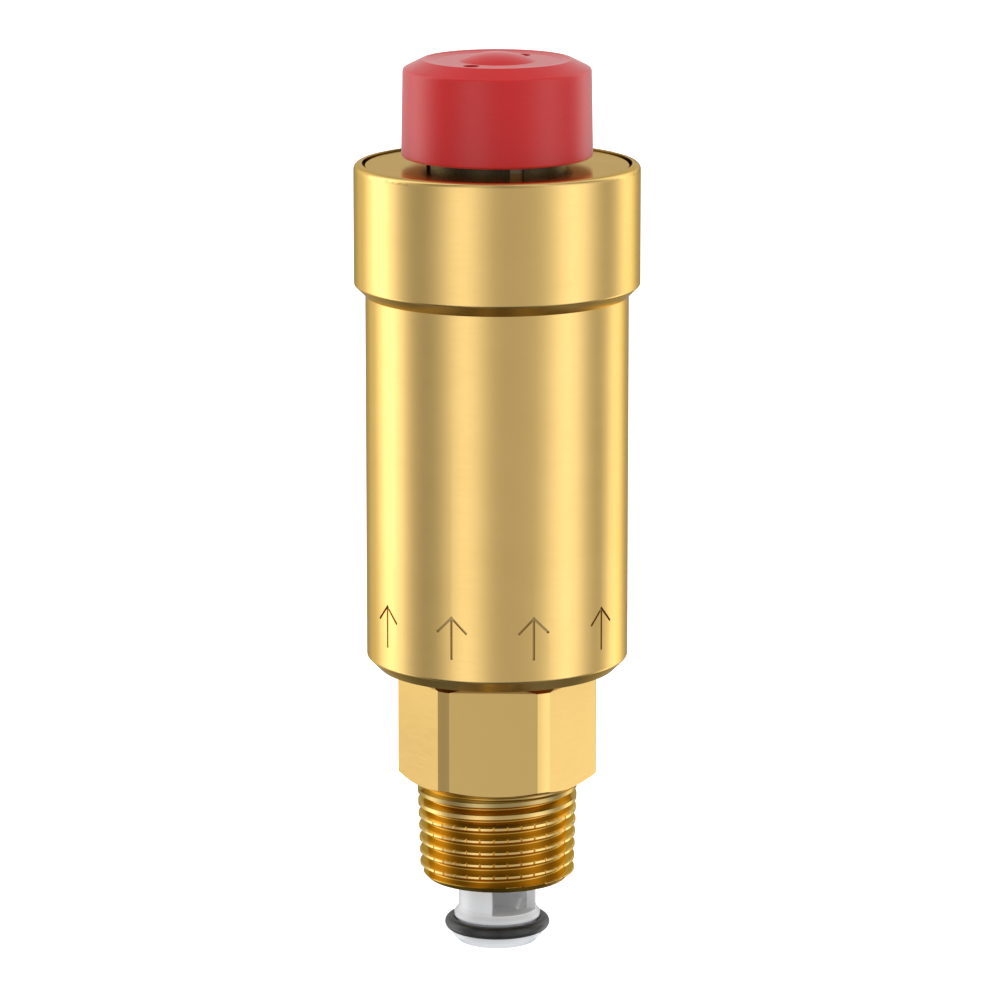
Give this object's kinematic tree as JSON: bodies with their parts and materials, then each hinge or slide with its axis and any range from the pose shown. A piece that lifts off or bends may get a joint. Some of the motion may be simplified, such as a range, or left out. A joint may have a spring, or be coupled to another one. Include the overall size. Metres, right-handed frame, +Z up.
{
  "type": "automatic air vent",
  "caption": "Cylindrical brass float-type automatic air vent with a red screw cap, screwed into a hexagon shut-off adapter with a tapered pipe thread and sprung poppet.",
  "frame": {"origin": "on the vent's axis, in the plane of the adapter hexagon's lower shoulder, where the pipe thread begins", "axes": "+Z up along the axis to the cap, -Z out of the pipe thread's end; -Y is the front, with one hexagon flat turned 2.4 degrees from it"},
  "size_m": [0.0302, 0.0302, 0.096],
  "materials": {
    "adapter_brass": "turned, satin, slightly orange",
    "body_brass": "turned and polished",
    "inner_brass": "as turned",
    "cap_red": "moulded, satin",
    "neck_black": "moulded",
    "poppet_white": "moulded, satin",
    "float_plastic": "moulded",
    "seal_rubber": "moulded",
    "spring_steel": "bright drawn and pressed"
  },
  "bodies": {
    "shutoff_valve": {"shutoff_body": "adapter_brass"},
    "tail_seal": {"tail_ring": "seal_rubber"},
    "vent": {"vent_housing": "body_brass", "inlet_screen": "spring_steel", "head_cover": "body_brass", "cover_ring": "seal_rubber", "vent_neck": "neck_black", "neck_ring": "seal_rubber", "neck_nut": "inner_brass", "valve_seat": "inner_brass", "lever_bracket": "spring_steel", "pivot_pin": "spring_steel"},
    "poppet": {"shutoff_poppet": "poppet_white", "poppet_ring": "seal_rubber", "poppet_clip": "spring_steel", "poppet_spring": "spring_steel"},
    "float": {"float_shell": "float_plastic", "float_base": "float_plastic", "float_link": "float_plastic", "link_pin": "spring_steel"},
    "lever": {"valve_lever": "spring_steel", "valve_pad": "seal_rubber"},
    "cap_washer": {"cap_seal": "seal_rubber"},
    "cap": {"vent_cap": "cap_red"}
  },
  "joints": [
    {"name": "vent_lift", "type": "slide", "parent": "shutoff_valve", "child": "tail_seal", "axis": [0, 0, 1], "range_m": [0, 0.00535]},
    {"name": "vent_turn", "type": "hinge", "parent": "tail_seal", "child": "vent", "pos_m": [0, 0, 0.0123], "axis": [0, 0, 1], "range_deg": [0, 1440]},
    {"name": "poppet_lift", "type": "slide", "parent": "shutoff_valve", "child": "poppet", "axis": [0, 0, 1], "range_m": [0, 0.00535], "deforming": ["poppet_spring"]},
    {"name": "float_rise", "type": "slide", "parent": "vent", "child": "float", "axis": [0, 0, 1], "range_m": [0, 0.006]},
    {"name": "lever_swing", "type": "hinge", "parent": "vent", "child": "lever", "pos_m": [-0.009, 0, 0.058], "axis": [0, -1, 0], "range_deg": [0, 19.2]},
    {"name": "cap_lift", "type": "slide", "parent": "vent", "child": "cap_washer", "axis": [0, 0, 1], "range_m": [-0.00075, 0.0045]},
    {"name": "cap_turn", "type": "hinge", "parent": "cap_washer", "child": "cap", "pos_m": [0, 0, 0.067], "axis": [0, 0, 1], "range_deg": [-180, 1080]}
  ],
  "couplings": [
    {"joint": "vent_lift", "follows": "vent_turn", "m_per_rad": 0.00021279},
    {"joint": "poppet_lift", "follows": "vent_turn", "m_per_rad": 0.00021279},
    {"joint": "float_rise", "follows": "lever_swing", "m_per_rad": 0.017905},
    {"joint": "cap_lift", "follows": "cap_turn", "m_per_rad": 0.00023873}
  ]
}
